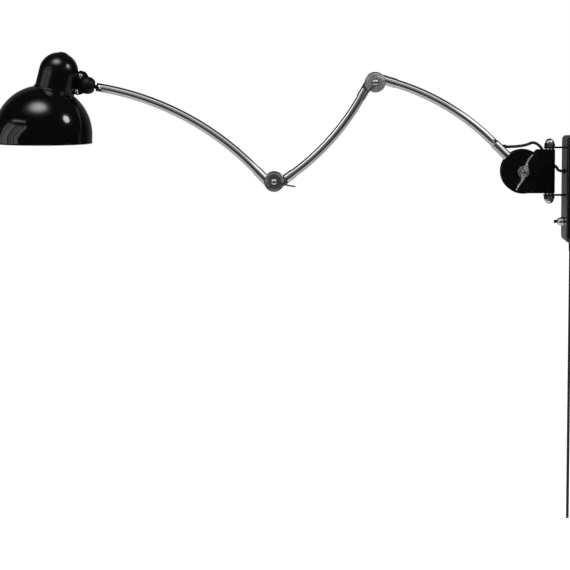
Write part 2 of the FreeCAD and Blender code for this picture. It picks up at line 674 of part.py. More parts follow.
def base_bolt():
    """Hexagon head behind, thread in front for the wing nut."""
    stack = cheek_face + s.disc_rim + s.disc_rise
    body = new_body("base_bolt")
    head = new_sketch(body, "XY_Plane", stack)
    hexagon(head, s.base_bolt_flats)
    feature(body, "Pad", head, s.base_bolt_head)
    shank = new_sketch(body, "XZ_Plane")
    tip = -stack - s.base_washer_sheet - s.base_bolt_past
    outline(shank, [(0, tip), (s.base_bolt_radius - 1, tip), (s.base_bolt_radius, tip + 1),
                    (s.base_bolt_radius, stack + 1), (0, stack + 1)])
    turned(body, shank, "V_Axis")
    return place(body, base_x, 0, base_z, -90, (1, 0, 0))


def base_washer():
    hole = s.base_bolt_radius + s.base_bolt_fit
    low = cheek_face + s.disc_rim + s.disc_rise
    high = low + s.base_washer_sheet
    piece = turned_piece("base_washer", [
        (hole, low), (s.base_washer_radius, low), (s.base_washer_radius, high - 0.5),
        (s.base_washer_radius - 0.5, high), (hole, high)])
    return place(piece, base_x, 0, base_z, 90, (1, 0, 0))


def wing_nut():
    """Conical hub with two thin wings; Z points out to the front before it is placed."""
    hole = s.base_bolt_radius + s.base_bolt_fit
    hub = turned_piece("wing_hub", [
        (hole, 0), (s.wing_hub_radius, 0), (s.wing_hub_radius, 5), (s.wing_hub_top, s.wing_hub_height),
        (hole, s.wing_hub_height)])
    ears = new_body("wing_ears")
    side_view = new_sketch(ears, "XZ_Plane")
    reach, rise = s.wing_reach, s.wing_rise
    for hand in (1, -1):
        start, tip = hand * (s.wing_hub_top - 0.5), hand * reach
        turn = 70 * hand
        points = [(start, 4, turn), (tip, rise, hand * s.wing_depth * 0.55),
                  (tip - hand * 2, rise + s.wing_depth, -turn), (start, s.wing_hub_height - 0.5)]
        outline(side_view, points)
    feature(ears, "Pad", side_view, s.wing_thickness * 4, both=True)
    band = new_body("wing_band")
    top_view = new_sketch(band, "XY_Plane")
    half = s.wing_thickness / 2
    for hand in (1, -1):
        start, middle, tip = hand * 4, hand * reach * 0.5, hand * (reach + 1)
        root_half, sway = 6, hand * 2.2
        outline(top_view, [
            (start, -hand * root_half, hand * 60), (middle, sway - hand * half, -hand * 60),
            (tip, -hand * half * 0.7 - sway), (tip, hand * half * 0.7 - sway, hand * 60),
            (middle, sway + hand * half, -hand * 60), (start, hand * root_half)])
    feature(band, "Pad", top_view, rise + s.wing_depth * 2)
    wings = doc.addObject("Part::Common", "wing_pair")
    wings.Base, wings.Tool = ears, band
    made = doc.addObject("Part::Fuse", "wing_nut")
    made.Base, made.Tool = hub, wings
    made.Label = "wing_nut"
    made.Refine = True
    front = cheek_face + s.disc_rim + s.disc_rise + s.base_washer_sheet
    place(made, base_x, -front, base_z)
    made.Placement = FreeCAD.Placement(
        made.Placement.Base,
        FreeCAD.Rotation(FreeCAD.Vector(0, 1, 0), -s.wing_angle.value)
        * FreeCAD.Rotation(FreeCAD.Vector(1, 0, 0), 90))
    return made


# ---------------------------------------------------------------- arms


def arm_tube(label, arm, x, z, start, end_inset):
    """Tube that follows the arm's straight runs and bend."""
    body = new_body(label)
    bend_x, bend_z = arm.arc_end()
    last = arm.end_run - end_inset
    end_x, end_z = bend_x + last * cosine(arm.sweep), bend_z + last * sine(arm.sweep)
    level = -arm.start_side
    path = new_sketch(body, "XZ_Plane")
    outline(path, [(start, level), (arm.start_run, level, arm.bend), (bend_x, bend_z),
                   (end_x, end_z)], closed=False)
    ring = new_sketch(body, "YZ_Plane", start)
    circle(ring, 0, level if arm.start_side.value else 0, s.tube_radius)
    circle(ring, 0, level if arm.start_side.value else 0, tube_inner)
    pipe = body.newObject("PartDesign::AdditivePipe", label + "_pipe")
    pipe.Profile = ring
    pipe.Spine = path
    return place(body, x, 0, z, -arm.start_angle)


def knuckle(label, x, z, angle, tube_side, front):
    """Half of an elbow: a sleeve for the tube that runs out into a half-thick round plate.

    In its own frame X points along the tube and Z across it. tube_side is the sleeve's place on Z.
    """
    hand = -1 if front else 1
    body = new_body(label)
    sleeve = new_sketch(body, "YZ_Plane")
    circle(sleeve, 0, tube_side, s.sleeve_radius)
    feature(body, "Pad", sleeve, s.sleeve_end)
    half_space = new_sketch(body, "XZ_Plane", -hand * s.friction_half)
    reach = s.knuckle_radius + 3
    outline(half_space, [(-reach, -reach * 1.5), (s.sleeve_start, -reach * 1.5),
                         (s.sleeve_start, reach * 1.5), (-reach, reach * 1.5)])
    feature(body, "Pocket", half_space, s.knuckle_radius * 2, back=not front)
    plate = new_sketch(body, "XY_Plane")
    inner, outer, boss = hand * s.friction_half, hand * s.knuckle_outer, hand * s.knuckle_boss
    low = outer - hand * s.knuckle_groove_depth
    hole, rim = s.pin_radius + s.pin_fit, s.knuckle_radius
    outline(plate, [
        (hole, inner), (rim, inner), (rim, outer - hand * s.knuckle_edge),
        (rim - s.knuckle_edge, outer), (s.knuckle_groove_out, outer), (s.knuckle_groove_out, low),
        (s.knuckle_groove_in, low), (s.knuckle_groove_in, outer), (s.knuckle_boss_radius, outer),
        (s.knuckle_boss_radius, boss), (hole, boss)])
    turned(body, plate, "V_Axis")
    pin_hole = new_sketch(body, "XZ_Plane")
    circle(pin_hole, 0, 0, hole)
    feature(body, "Pocket", pin_hole, s.knuckle_radius * 3, both=True)
    socket = new_sketch(body, "YZ_Plane", tube_start)
    circle(socket, 0, tube_side, s.tube_radius + s.tube_fit)
    feature(body, "Pocket", socket, s.tube_insert + 1, back=True)
    return place(body, x, 0, z, -angle)


def arm_1_drum():
    """Drum that turns between the fork's cheeks, with the sleeve for the first tube."""
    body = new_body("arm_1_drum")
    half, edge = s.drum_width / 2, s.drum_edge
    sleeve = new_sketch(body, "YZ_Plane")
    circle(sleeve, 0, 0, s.sleeve_radius)
    feature(body, "Pad", sleeve, s.base_sleeve_end)
    flats = new_sketch(body, "XY_Plane")
    wide = s.sleeve_radius + 1
    near = s.drum_radius + 6
    for hand in (1, -1):
        outline(flats, [(-hand * near, hand * half), (hand * near, hand * half),
                        (hand * near, hand * wide), (-hand * near, hand * wide)])
    feature(body, "Pocket", flats, s.sleeve_radius * 3, both=True)
    disc = new_sketch(body, "XY_Plane")
    hole = s.base_bolt_radius + s.base_bolt_fit
    outline(disc, [(hole, -half), (s.drum_radius - edge, -half), (s.drum_radius, edge - half),
                   (s.drum_radius, half - edge), (s.drum_radius - edge, half), (hole, half)])
    turned(body, disc, "V_Axis")
    bolt = new_sketch(body, "XZ_Plane")
    circle(bolt, 0, 0, hole)
    feature(body, "Pocket", bolt, s.drum_radius * 2, both=True)
    socket = new_sketch(body, "YZ_Plane", s.base_sleeve_end - s.base_tube_insert)
    circle(socket, 0, 0, s.tube_radius + s.tube_fit)
    feature(body, "Pocket", socket, s.base_tube_insert + 1, back=True)
    place(body, base_x, 0, base_z, -arm_1.start_angle)
    drill = doc.addObject("Part::Cylinder", "sleeve_lead_drill")
    drill.setExpression("Radius", (s.bush_radius + s.cord_fit).text)
    drill.setExpression("Height", (s.bush_length * 2).text)
    place(drill, lead_exit[0] - s.bush_inside, 0, lead_exit[1], 90)
    cut = doc.addObject("Part::Cut", "arm_1_drum_drilled")
    cut.Base, cut.Tool = body, drill
    body.Label = "drum_casting"
    cut.Label = "arm_1_drum"
    return cut


def sleeve_grommet():
    """Rubber bush where the lead leaves the sleeve, level with the lead."""
    bore = s.cord_radius + s.cord_fit
    piece = turned_piece("sleeve_grommet", [
        (bore, 0), (s.bush_radius, 0), (s.bush_radius, s.bush_length - 1, 1),
        (s.bush_radius - 1, s.bush_length), (bore, s.bush_length)])
    return place(piece, lead_exit[0] - s.bush_inside, 0, lead_exit[1], 90)


def friction_washer(label, x, z):
    hole = s.pin_radius + s.pin_fit
    piece = turned_piece(label, [
        (hole, -s.friction_half), (s.friction_radius, -s.friction_half),
        (s.friction_radius, s.friction_half), (hole, s.friction_half)])
    return place(piece, x, 0, z, 90, (1, 0, 0))


def elbow_screw(label, x, z):
    """Domed head with a level slot in front, hexagon nut behind."""
    front = s.knuckle_boss + s.lever_sheet
    piece = new_body(label)
    shank = new_sketch(piece, "XZ_Plane")
    back = -(s.knuckle_boss + s.pin_nut_height + 2)
    head = s.pin_head_radius
    outline(shank, [
        (0, back), (s.pin_radius, back), (s.pin_radius, front), (head, front),
        (head, front + 1, crown(head, s.pin_head_height - 1)), (0, front + s.pin_head_height)])
    turned(piece, shank, "V_Axis")
    slot = new_sketch(piece, "XY_Plane", front + s.pin_head_height)
    half = s.slot_width / 2
    outline(slot, [(-head - 1, -half), (head + 1, -half), (head + 1, half), (-head - 1, half)])
    feature(piece, "Pocket", slot, s.slot_depth)
    nut = new_sketch(piece, "XY_Plane", -s.knuckle_boss)
    hexagon(nut, s.pin_nut_flats)
    feature(piece, "Pad", nut, s.pin_nut_height, back=True)
    return place(piece, x, 0, z, 90, (1, 0, 0))


def clamp_lever(label, x, z, angle):
    """Thin curved lever with a round eye, seen from the front; it lies under the screw head."""
    body = new_body(label)
    eye = new_sketch(body, "XZ_Plane", lever_back)
    circle(eye, 0, 0, s.lever_hub_radius)
    feature(body, "Pad", eye, s.lever_sheet)
    blade = new_sketch(body, "XZ_Plane", lever_back)
    width = s.lever_width
    top = s.lever_hub_radius - 0.2
    half_tip = width * 0.35
    outline(blade, [(0, top), (0, top - width, s.lever_bend), (s.lever_reach, -half_tip, width * 0.4),
                    (s.lever_reach, half_tip, -s.lever_bend)])
    feature(body, "Pad", blade, s.lever_sheet)
    hole = new_sketch(body, "XZ_Plane")
    circle(hole, 0, 0, s.pin_radius + s.pin_fit)
    feature(body, "Pocket", hole, s.knuckle_radius * 3, both=True)
    return place(body, x, 0, z, -angle)


def arm_3_end_bush():
    """Plug in the tube's end that the ball stud turns in; X points out to the ball."""
    piece = turned_piece("arm_3_end_bush", [
        (s.stud_radius + s.stud_fit, -s.neck_length), (tube_inner - s.tube_fit, -s.neck_length),
        (tube_inner - s.tube_fit, -s.neck_length - s.stud_depth - 2),
        (s.stud_radius + s.stud_fit, -s.neck_length - s.stud_depth - 2)])
    return place(piece, ball_at[0], 0, ball_at[1], 90 - arm_3.end_angle + 180)


def ball_stud():
    """Ball, neck and shank turned in one piece."""
    ball, neck = s.ball_radius, s.neck_radius
    lower = -root(ball * ball - neck * neck)
    piece = turned_piece("ball_stud", [
        (0, ball, -ball), (ball, 0, -ball), (neck, lower), (neck, 0.3 - s.neck_length),
        (s.stud_radius, 0.3 - s.neck_length), (s.stud_radius, -s.neck_length - s.stud_depth),
        (0, -s.neck_length - s.stud_depth)])
    return place(piece, ball_at[0], 0, ball_at[1], 90 - arm_3.end_angle + 180)


# ---------------------------------------------------------------- head


def on_head(piece):
    """Places a piece drawn about the shade's centre with Z along the housing."""
    return place(piece, shade_x, 0, shade_z, s.head_tilt)


def clamp_shell(label, front):
    """Half of the ball clamp: a flange on the housing's ear that swells into half a ball socket."""
    hand = -1 if front else 1
    body = new_body(label)
    plate = new_sketch(body, "XZ_Plane")
    inner = s.housing_radius + s.clamp_from_housing
    low, high = seam + s.clamp_low, seam + s.clamp_high
    outline(plate, [
        (inner, low), (inner + 9, low, 40), (s.ball_reach - 2, ball_up - s.socket_radius + 2),
        (s.ball_reach - 2, ball_up + s.socket_radius - 2, 30), (inner + 12, high), (inner, high)])
    feature(body, "Pad", plate, s.flange_outer, back=not front)
    ball = new_sketch(body, "XZ_Plane")
    radius = s.socket_radius
    outline(ball, [(s.ball_reach, ball_up - radius, radius), (s.ball_reach + radius, ball_up, radius),
                   (s.ball_reach, ball_up + radius)])
    half_ball = body.newObject("PartDesign::Revolution", label + "_half_ball")
    half_ball.Profile = ball
    half_ball.ReferenceAxis = (ball, ["Edge3"])
    half_ball.Angle = 180
    half_ball.Reversed = not front
    ear = new_sketch(body, "XZ_Plane")
    ear_end = s.ear_reach + 0.4
    outline(ear, [(inner - 2, low - 2), (ear_end, low - 2), (ear_end, high + 2),
                  (inner - 2, high + 2)])
    feature(body, "Pocket", ear, s.ear_half + 0.05, back=front)
    return body


def clamp_body(label, front):
    """The clamp shell with its ball cavity, mouth and screw holes cut out."""
    shell = clamp_shell(label + "_blank", front)
    cavity = doc.addObject("Part::Sphere", label + "_cavity")
    cavity.setExpression("Radius", (s.ball_radius + s.ball_fit).text)
    place(cavity, s.ball_reach, 0, ball_up)
    mouth = doc.addObject("Part::Cone", label + "_mouth")
    mouth.setExpression("Radius1", sized(1).text)
    mouth.setExpression("Radius2", (s.mouth_radius * s.socket_radius / s.mouth_depth).text)
    mouth.setExpression("Height", s.socket_radius.text)
    place(mouth, s.ball_reach, 0, ball_up, mouth_turn)
    tools = [cavity, mouth]
    for name, height in (("low", s.clamp_screw_low), ("high", s.clamp_screw_high)):
        drill = doc.addObject("Part::Cylinder", f"{label}_{name}_drill")
        drill.setExpression("Radius", (s.clamp_screw_radius + s.clamp_fit).text)
        drill.setExpression("Height", (s.flange_outer * 4).text)
        tools.append(place(drill, s.clamp_screw_reach, s.flange_outer * 2, seam + height, 90,
                           (1, 0, 0)))
    cutter = doc.addObject("Part::MultiFuse", label + "_cutter")
    cutter.Shapes = tools
    cut = doc.addObject("Part::Cut", label)
    cut.Base, cut.Tool = shell, cutter
    cut.Label = label
    return on_head(cut)


def fastener_pair(label, points, slotted, behind):
    """Two turned fasteners across the clamp, at the low and the high hole."""
    members = []
    for name, height in (("low", s.clamp_screw_low), ("high", s.clamp_screw_high)):
        body = new_body(f"{label}_{name}")
        sketch = new_sketch(body, "XZ_Plane")
        outline(sketch, points)
        turned(body, sketch, "V_Axis")
        if slotted:
            slot = new_sketch(body, "XY_Plane", points[-1][1])
            half, wide = s.slot_width / 2, s.clamp_screw_head_radius + 1
            outline(slot, [(-half, -wide), (half, -wide), (half, wide), (-half, wide)])
            feature(body, "Pocket", slot, s.slot_depth)
        place(body, s.clamp_screw_reach, 0, seam + height, -90 if behind else 90, (1, 0, 0))
        members.append(body)
    return on_head(group(label, members))


def clamp_screws():
    back = -(s.flange_outer + s.clamp_nut_height + 1.5)
    face = s.flange_outer
    return fastener_pair("clamp_screws", [
        (0, back), (s.clamp_screw_radius, back), (s.clamp_screw_radius, face),
        (s.clamp_screw_head_radius, face),
        (s.clamp_screw_head_radius, face + 1, crown(s.clamp_screw_head_radius, s.clamp_screw_head - 1)),
        (0, face + s.clamp_screw_head)], True, False)


def clamp_nuts():
    face = s.flange_outer
    top = face + s.clamp_nut_height
    hole = s.clamp_screw_radius + 0.05
    return fastener_pair("clamp_nuts", [
        (hole, face), (s.clamp_nut_radius, face), (s.clamp_nut_radius, top - 0.6),
        (s.clamp_nut_radius - 0.6, top), (hole, top)], False, True)


def lamp_housing():
    """Domed housing with a collar on the shade and a flat ear for the clamp."""
    body = new_body("lamp_housing")
    outer, inner = s.housing_radius, s.housing_radius - s.housing_wall
    seat = s.shade_radius + s.shade_seat_gap
    seat_in = root(seat * seat - inner * inner)
    seat_out = root(seat * seat - s.collar_radius * s.collar_radius)
    shoulder = seam + s.housing_straight
    sketch = new_sketch(body, "XZ_Plane")
    outline(sketch, [
        (inner, seat_in, -seat), (s.collar_radius, seat_out),
        (s.collar_radius, seam + s.collar_height - s.collar_edge, s.collar_edge),
        (s.collar_radius - s.collar_edge, seam + s.collar_height),
        (outer, seam + s.collar_height), (outer, shoulder, outer), (0, shoulder + outer),
        (0, shoulder + inner, -inner), (inner, shoulder)])
    turned(body, sketch, "V_Axis")
    ear = new_sketch(body, "XZ_Plane")
    low, high = seam + s.clamp_low + 2, seam + s.clamp_high - 3
    notch = s.ball_radius + 1
    aside = s.ball_reach - s.ear_reach
    half_notch = root(notch * notch - aside * aside)
    outline(ear, [
        (inner + 1.2, low), (s.ear_reach, low), (s.ear_reach, ball_up - half_notch, -notch),
        (s.ear_reach, ball_up + half_notch), (s.ear_reach, high - 6), (s.ear_reach - 8, high),
        (inner + 1.2, high)])
    feature(body, "Pad", ear, s.ear_half * 2, both=True)
    holes = new_sketch(body, "XZ_Plane")
    for height in (s.clamp_screw_low, s.clamp_screw_high):
        circle(holes, s.clamp_screw_reach, seam + height, s.clamp_screw_radius + s.clamp_fit)
    feature(body, "Pocket", holes, s.flange_outer * 4, both=True)
    top = new_sketch(body, "XY_Plane", shoulder + outer + 5)
    circle(top, 0, 0, s.cap_stem_radius + s.cord_fit)
    feature(body, "Pocket", top, s.housing_wall + 8)
    return on_head(body)


def housing_cap():
    """Low round cap seated on the top of the dome."""
    top = seam + s.housing_straight + s.housing_radius
    ball = s.housing_radius + 0.05
    edge = seam + s.housing_straight + root(ball * ball - s.cap_radius * s.cap_radius)
    stem = s.cap_stem_radius
    neck = seam + s.housing_straight + root(ball * ball - stem * stem)
    rise = top + s.cap_height - edge - 0.8
    piece = turned_piece("housing_cap", [
        (0, top - s.housing_wall - 2), (stem, top - s.housing_wall - 2), (stem, neck, -ball),
        (s.cap_radius, edge), (s.cap_radius, edge + 0.8, crown(s.cap_radius, rise)),
        (0, edge + 0.8 + rise)])
    return on_head(piece)


def shade():
    """Spun hemisphere with a straight skirt and a rolled bead; its rim is level, its neck tilted."""
    body = new_body("shade_bowl")
    outer, inner = s.shade_radius, s.shade_radius - s.shade_sheet
    foot = s.shade_bead - s.shade_skirt
    bead = s.shade_bead
    middle = outer - s.shade_draft - s.shade_sheet / 2
    sketch = new_sketch(body, "XZ_Plane")
    outline(sketch, [
        (0, inner, -inner), (inner, 0), (inner - s.shade_draft, foot),
        (middle - bead, foot, bead), (middle, foot - bead, bead), (middle + bead, foot),
        (outer - s.shade_draft, foot + bead), (outer, 0, outer), (0, outer)])
    turned(body, sketch, "V_Axis")
    hole = doc.addObject("Part::Cylinder", "shade_neck_drill")
    hole.setExpression("Radius", (s.housing_radius - s.housing_wall + s.ring_fit).text)
    hole.setExpression("Height", (s.shade_radius * 1.2).text)
    place(hole, 0, 0, 0, s.head_tilt)
    cut = doc.addObject("Part::Cut", "shade")
    cut.Base, cut.Tool = body, hole
    cut.Label = "shade"
    return place(cut, shade_x, 0, shade_z)


def shade_ring():
    """Ring nut screwed into the housing from below; its flange holds the shade."""
    outer = s.housing_radius - s.housing_wall - s.ring_fit
    inner = outer - s.ring_wall
    under = s.shade_radius - s.shade_sheet - 0.1
    face = root(under * under - s.ring_flange_radius * s.ring_flange_radius)
    low = face - s.ring_flange_sheet
    piece = turned_piece("shade_ring", [
        (inner, low), (s.ring_flange_radius, low), (s.ring_flange_radius, face), (outer, face),
        (outer, seam + s.ring_rise), (inner, seam + s.ring_rise)])
    return on_head(piece)


def holder_plate():
    """Steel disc on top of the ring that the lampholder hangs from."""
    outer = s.housing_radius - s.housing_wall - s.ring_fit
    low = seam + s.ring_rise
    hole = s.holder_neck_radius + 0.1
    piece = turned_piece("holder_plate", [
        (hole, low), (outer, low), (outer, low + s.holder_plate_sheet),
        (hole, low + s.holder_plate_sheet)])
    return on_head(piece)


def lampholder():
    """Porcelain holder with a neck through the plate and a socket for the bulb."""
    top = seam + s.ring_rise
    mouth = top - s.holder_drop
    socket = mouth + s.cap_socket_depth
    neck = s.holder_neck_radius
    piece = turned_piece("lampholder", [
        (s.cap_socket_radius, mouth), (s.holder_radius - 2, mouth, 2), (s.holder_radius, mouth + 2),
        (s.holder_radius, top), (neck, top), (neck, top + s.holder_neck_height),
        (0, top + s.holder_neck_height), (0, socket), (s.cap_socket_radius, socket)])
    return on_head(piece)


def bulb():
    """Pear-shaped hollow lamp with a screw base and a narrow stem bore."""
    mouth = seam + s.ring_rise - s.holder_drop
    base_top = mouth + s.cap_socket_depth - 0.1
    centre = mouth - s.bulb_length + s.bulb_radius
    neck = s.bulb_neck_radius
    waist = mouth - s.bulb_neck_length
    across, rise = cosine(s.bulb_shoulder_angle), sine(s.bulb_shoulder_angle)
    inside = s.bulb_radius - s.bulb_wall
    piece = turned_piece("bulb", [
        (s.bulb_stem_radius, base_top), (s.bulb_stem_radius, waist), (neck - s.bulb_wall, waist),
        (inside * across, centre + inside * rise, -inside), (inside, centre, -inside),
        (0, centre - inside), (0, centre - s.bulb_radius, s.bulb_radius),
        (s.bulb_radius, centre, s.bulb_radius),
        (s.bulb_radius * across, centre + s.bulb_radius * rise), (neck, waist), (neck, mouth - 1),
        (s.bulb_base_radius, mouth - 1), (s.bulb_base_radius, base_top - 4),
        (s.bulb_base_radius - 5, base_top)])
    return on_head(piece)


# ---------------------------------------------------------------- leads

lead_exit = (derived("lead_exit_x", base_x + s.lead_exit_along * cosine(arm_1.start_angle)
                     + s.sleeve_radius * sine(arm_1.start_angle)),
             derived("lead_exit_z", base_z + s.lead_exit_along * sine(arm_1.start_angle)
                     - s.sleeve_radius * cosine(arm_1.start_angle)))


def lead(label, points, straight=False):
    """A round lead along straight runs with tangent arcs, as large as the runs allow."""
    at = [FreeCAD.Vector(sized(x).value, 0, sized(z).value) for x, z in points]
    edges, here, radii = [], at[0], []
    for i in range(1, len(at) - 1):
        before, after = at[i - 1] - at[i], at[i + 1] - at[i]
        turn = math.pi - before.getAngle(after)
        cut = 0.45 * min(before.Length, after.Length)
        radii.append(cut / math.tan(turn / 2))
        first = at[i] + before.normalize() * cut
        last = at[i] + after.normalize() * cut
        inward = before + after
        middle = at[i] + inward.normalize() * (radii[-1] / math.cos(turn / 2) - radii[-1])
        edges += [Part.LineSegment(here, first).toShape(), Part.Arc(first, middle, last).toShape()]
        here = last
    edges.append(Part.LineSegment(here, at[-1]).toShape())
    wire = Part.Wire(edges)
    start = at[0]
    section = Part.Wire(Part.makeCircle(s.cord_radius.value, start, at[1] - start))
    solid = wire.makePipeShell([section], True, False)
    area = math.pi * s.cord_radius.value**2
    print(label, "radii", [round(r, 1) for r in radii], "length", round(wire.Length, 1),
          "volume ratio", round(solid.Volume / (area * wire.Length), 4))
    made = doc.addObject("Part::Feature", label)
    made.Label = label
    made.Shape = solid
    return made


def leads():
    mid_x = base_x + (s.fork_slot_end + s.base_from_wall - s.pivot_from_wall + s.fork_rear) / 2
    mid_z = base_z + (s.cable_hole_in + s.cable_hole_out) / 2
    run_x = s.base_from_wall - s.pivot_from_wall + s.fork_rear - s.fork_slot_end
    drop = (s.cable_hole_in - s.cable_hole_out) / run_x
    out_x = mid_x + 12
    arm_lead = lead("arm_cord_loop", [
        (lead_exit[0] - s.bush_inside + 1, lead_exit[1]), (lead_exit[0] + 16, lead_exit[1]),
        (-111, 94.5), (-92, 103.5), (-72, 86),
        (mid_x - 16.5, mid_z + 16.5 * drop), (mid_x, mid_z)])
    wall_lead = lead("wall_cord_loop", [
        (mid_x, mid_z), (out_x + 2, mid_z - (out_x + 2 - mid_x) * drop),
        (-38.5, s.grommet_height), (s.cover_wall + 3 - s.plate_depth, s.grommet_height)])
    supply = lead("supply_cord", [
        (-s.supply_from_wall, s.relief_flange + s.cover_wall - s.plate_height / 2),
        (-s.supply_from_wall, -s.plate_height / 2 - s.supply_length)])
    return [arm_lead, wall_lead, supply]


# ---------------------------------------------------------------- build and write

mouth_turn = derived("mouth_turn", 270 - arm_3.end_angle - s.head_tilt + 180)

nodes = [
    wall_cover(), mounting_plate(), pivot_bracket(),
    group("cover_screws", [cover_screw("cover_screw_top", 1), cover_screw("cover_screw_low", -1)]),
    pivot_stud("upper_pivot_stud", 1), pivot_stud("lower_pivot_stud", -1),
    cap_nut("upper_cap_nut", 1), cap_nut("lower_cap_nut", -1),
    thrust_washer("upper_thrust_washer", 1), thrust_washer("lower_thrust_washer", -1),
    cord_grommet(), switch_body(), switch_collar(), switch_button(), terminal_block(),
    strain_relief(), swivel_fork(), friction_disc("front_friction_disc", -1),
    friction_disc("rear_friction_disc", 1), base_bolt(), base_washer(), wing_nut(),
    arm_1_drum(), sleeve_grommet(),
    arm_tube("arm_1_tube", arm_1, base_x, base_z, s.base_sleeve_end - s.base_tube_insert, tube_start),
    knuckle("arm_1_knuckle", *elbow_2, arm_1.end_angle, s.arm_offset, True),
    knuckle("arm_2_upper_knuckle", *elbow_2, arm_2.end_angle, -s.arm_offset, False),
    arm_tube("arm_2_tube", arm_2, *elbow_1, tube_start, tube_start),
    knuckle("arm_2_lower_knuckle", *elbow_1, arm_2.start_angle, -s.arm_offset, False),
    knuckle("arm_3_knuckle", *elbow_1, arm_3.start_angle, s.arm_offset, True),
    arm_tube("arm_3_tube", arm_3, *elbow_1, tube_start, s.neck_length),
    friction_washer("elbow_1_friction_washer", *elbow_1),
    friction_washer("elbow_2_friction_washer", *elbow_2),
    elbow_screw("elbow_1_screw", *elbow_1), elbow_screw("elbow_2_screw", *elbow_2),
    clamp_lever("elbow_1_lever", *elbow_1, s.lever_1_angle),
    clamp_lever("elbow_2_lever", *elbow_2, s.lever_2_angle),
    arm_3_end_bush(), ball_stud(),
    clamp_body("front_clamp_shell", True), clamp_body("rear_clamp_shell", False),
    clamp_screws(), clamp_nuts(), lamp_housing(), housing_cap(), shade(), shade_ring(),
    holder_plate(), lampholder(), bulb(),
] + leads()
doc.recompute()

broken = [f"{thing.Name} {thing.State}" for thing in doc.Objects
          if "Invalid" in thing.State or "Error" in thing.State]
if broken:
    raise RuntimeError("did not build: " + ", ".join(broken))

os.makedirs("parts", exist_ok=True)
for node in nodes:
    shape = node.Shape
    if shape.isNull() or not shape.isValid() or not shape.Solids:
        raise RuntimeError(f"{node.Label} has no valid solid")
    shape.exportStep(f"parts/{node.Label}.step")
    print(node.Label, "solids", len(shape.Solids), "volume", round(shape.Volume, 1))
for name in ("base_x", "base_z", "elbow_2_x", "elbow_2_z", "elbow_1_x", "elbow_1_z", "ball_x",
             "ball_z", "shade_x", "shade_z", "seam", "ball_up", "arm_1_run_angle", "arm_1_end_angle",
             "arm_2_run_angle", "arm_2_end_angle", "arm_3_run_angle", "arm_3_end_angle", "mouth_turn"):
    print(name, round(getattr(layout, name), 3))
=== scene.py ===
"""Looks of the articulating wall lamp: camera, materials, smooth arm tubes, leads, lamps and floor.

Metres, in the CAD frame: +Z up, the wall is X = 0, the arms fold in the plane Y = 0, front is -Y.
"""

import bpy
import json
import math
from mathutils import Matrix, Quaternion, Vector


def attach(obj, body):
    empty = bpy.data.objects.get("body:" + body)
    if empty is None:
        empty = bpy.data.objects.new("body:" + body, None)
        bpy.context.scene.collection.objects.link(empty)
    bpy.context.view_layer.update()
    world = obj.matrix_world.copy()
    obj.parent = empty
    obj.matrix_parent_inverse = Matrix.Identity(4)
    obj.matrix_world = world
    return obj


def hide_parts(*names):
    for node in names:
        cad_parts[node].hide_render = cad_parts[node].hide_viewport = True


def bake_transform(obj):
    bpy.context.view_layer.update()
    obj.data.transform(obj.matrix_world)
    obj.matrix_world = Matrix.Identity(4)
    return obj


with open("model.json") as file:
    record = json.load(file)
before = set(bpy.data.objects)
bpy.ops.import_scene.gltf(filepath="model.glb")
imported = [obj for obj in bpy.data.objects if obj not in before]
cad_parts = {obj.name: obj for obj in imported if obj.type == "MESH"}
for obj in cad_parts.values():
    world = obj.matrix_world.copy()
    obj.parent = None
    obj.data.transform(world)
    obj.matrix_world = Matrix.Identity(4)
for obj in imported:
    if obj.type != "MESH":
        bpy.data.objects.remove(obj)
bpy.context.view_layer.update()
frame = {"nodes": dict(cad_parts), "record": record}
scene = bpy.context.scene
scene.view_settings.view_transform = "Standard"

# Centres of the joints and of the shade's round wall
BASE = (-0.117, 0, 0.0384)
ELBOW_2 = (-0.439038, 0, 0.2319)
ELBOW_1 = (-0.658933, 0, 0.015809)
SHADE_CENTRE = (-1.162247, 0, 0.11847)

# ---------------------------------------------------------------- camera

IMAGE_SIZE = 570
FOCAL_PIXELS = 2500
SENSOR_WIDTH = 36
CAMERA_PLACE = (-0.6352, -5.4503, 0.3588)
PITCH_DOWN = 5.971

camera = bpy.data.objects.new("camera", bpy.data.cameras.new("camera"))
camera.data.sensor_width = SENSOR_WIDTH
camera.data.lens = FOCAL_PIXELS / IMAGE_SIZE * SENSOR_WIDTH
camera.location = CAMERA_PLACE
camera.rotation_euler = (math.radians(90 - PITCH_DOWN), 0, 0)
scene.collection.objects.link(camera)
scene.camera = camera

# ---------------------------------------------------------------- node helpers

# The sockets of a Mix node that is set to colours: its names occur once for each kind of value
MIX_COLOUR_A = 6
MIX_COLOUR_B = 7
MIX_COLOUR_RESULT = 2


class NodeTree:
    """Short calls for the nodes used here. A value is a number, a vector or a node's output."""

    def __init__(self, tree):
        self.nodes = tree.nodes
        self.links = tree.links

    def fill(self, socket, value):
        if hasattr(value, "is_linked"):
            self.links.new(value, socket)
        else:
            socket.default_value = value

    def node(self, kind, *first, **named):
        """A new node, with its first inputs filled in order and others by name."""
        made = self.nodes.new(kind)
        for socket, value in zip(made.inputs, first):
            self.fill(socket, value)
        for name, value in named.items():
            self.fill(made.inputs[name], value)
        return made

    def math(self, operation, *values):
        made = self.node("ShaderNodeMath", *values)
        made.operation = operation
        return made.outputs[0]

    def ramp(self, value, low, high, start, end, interpolation="LINEAR"):
        """Maps value from low..high to start..end, clamped."""
        made = self.node("ShaderNodeMapRange", value, low, high, start, end)
        made.interpolation_type = interpolation
        return made.outputs[0]


